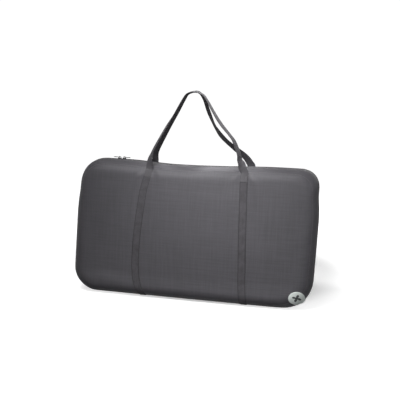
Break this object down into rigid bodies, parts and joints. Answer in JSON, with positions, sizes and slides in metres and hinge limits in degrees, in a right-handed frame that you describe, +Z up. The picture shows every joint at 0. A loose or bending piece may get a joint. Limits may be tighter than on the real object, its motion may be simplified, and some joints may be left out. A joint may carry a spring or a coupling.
{
  "type": "packed travel playpen in its carry bag",
  "caption": "Soft rounded-corner carry bag standing on its edge, with two webbing handles, a zipped front flap, and a folded tube-frame playpen and floor mat inside.",
  "frame": {"origin": "centre of the footprint, on the surface the bag stands on", "axes": "+Z up, +X along the bag's width to the right seen from the front, -Y out of the front"},
  "size_m": [0.8, 0.152, 0.6868],
  "materials": {
    "bag_fabric": "satin woven nylon, charcoal grey",
    "webbing": "matt woven webbing, dark grey",
    "zip_fabric": "matt woven tape",
    "zip_coil": "semi-gloss nylon coil",
    "zip_metal": "dark painted die-cast",
    "patch": "matt moulded badge, pale grey",
    "frame_tube": "satin anodised tube",
    "wall_fabric": "matt woven fabric",
    "clip_plastic": "matt moulded nylon",
    "mat_fabric": "soft quilted fabric"
  },
  "bodies": {
    "bag": {"front_lower_panel": "bag_fabric", "back_panel": "bag_fabric", "back_gusset": "bag_fabric", "base_gusset": "bag_fabric", "zip_tape_back": "zip_fabric", "zip_coil_back": "zip_coil", "front_strap_lower_left": "webbing", "front_strap_lower_right": "webbing", "back_strap_left": "webbing", "back_strap_right": "webbing", "round_patch": "patch", "wall_frame_1": "frame_tube", "wall_frame_2": "frame_tube", "wall_frame_3": "frame_tube", "wall_frame_4": "frame_tube", "wall_frame_5": "frame_tube", "wall_frame_6": "frame_tube", "wall_frame_7": "frame_tube", "wall_frame_8": "frame_tube", "wall_fabric_1": "wall_fabric", "wall_fabric_2": "wall_fabric", "wall_fabric_3": "wall_fabric", "wall_fabric_4": "wall_fabric", "wall_fabric_5": "wall_fabric", "wall_fabric_6": "wall_fabric", "wall_fabric_7": "wall_fabric", "wall_fabric_8": "wall_fabric", "hinge_clip_1_1": "clip_plastic", "hinge_clip_1_2": "clip_plastic", "hinge_clip_2_1": "clip_plastic", "hinge_clip_2_2": "clip_plastic", "hinge_clip_3_1": "clip_plastic", "hinge_clip_3_2": "clip_plastic", "hinge_clip_4_1": "clip_plastic", "hinge_clip_4_2": "clip_plastic", "hinge_clip_5_1": "clip_plastic", "hinge_clip_5_2": "clip_plastic", "hinge_clip_6_1": "clip_plastic", "hinge_clip_6_2": "clip_plastic", "hinge_clip_7_1": "clip_plastic", "hinge_clip_7_2": "clip_plastic", "floor_mat": "mat_fabric"},
    "front_flap": {"front_panel": "bag_fabric", "front_gusset": "bag_fabric", "zip_tape_front": "zip_fabric", "zip_coil_front": "zip_coil", "front_strap_upper_left": "webbing", "front_strap_upper_right": "webbing"},
    "front_handle": {"front_handle": "webbing"},
    "back_handle": {"back_handle": "webbing"},
    "slider_left": {"zip_slider_left": "zip_metal"},
    "slider_right": {"zip_slider_right": "zip_metal"},
    "pull_left": {"zip_pull_left": "zip_metal"},
    "pull_right": {"zip_pull_right": "zip_metal"}
  },
  "joints": [
    {"name": "flap_open", "type": "hinge", "parent": "bag", "child": "front_flap", "pos_m": [0, -0.0745, 0.12], "axis": [1, 0, 0], "range_deg": [0, 95]},
    {"name": "front_handle_swing", "type": "hinge", "parent": "front_flap", "child": "front_handle", "pos_m": [0, -0.0675, 0.4085], "axis": [1, 0, 0], "range_deg": [0, 180]},
    {"name": "back_handle_swing", "type": "hinge", "parent": "bag", "child": "back_handle", "pos_m": [0, 0.0675, 0.4085], "axis": [-1, 0, 0], "range_deg": [0, 180]},
    {"name": "slider_left_travel", "type": "slide", "parent": "bag", "child": "slider_left", "axis": [-1, 0, 0], "range_m": [0, 0.03]},
    {"name": "slider_right_travel", "type": "slide", "parent": "bag", "child": "slider_right", "axis": [1, 0, 0], "range_m": [0, 0.54]},
    {"name": "pull_left_flip", "type": "hinge", "parent": "slider_left", "child": "pull_left", "pos_m": [-0.266, 0, 0.4542], "axis": [0, 1, 0], "range_deg": [0, 150]},
    {"name": "pull_right_flip", "type": "hinge", "parent": "slider_right", "child": "pull_right", "pos_m": [-0.25, 0, 0.4542], "axis": [0, -1, 0], "range_deg": [0, 150]}
  ]
}
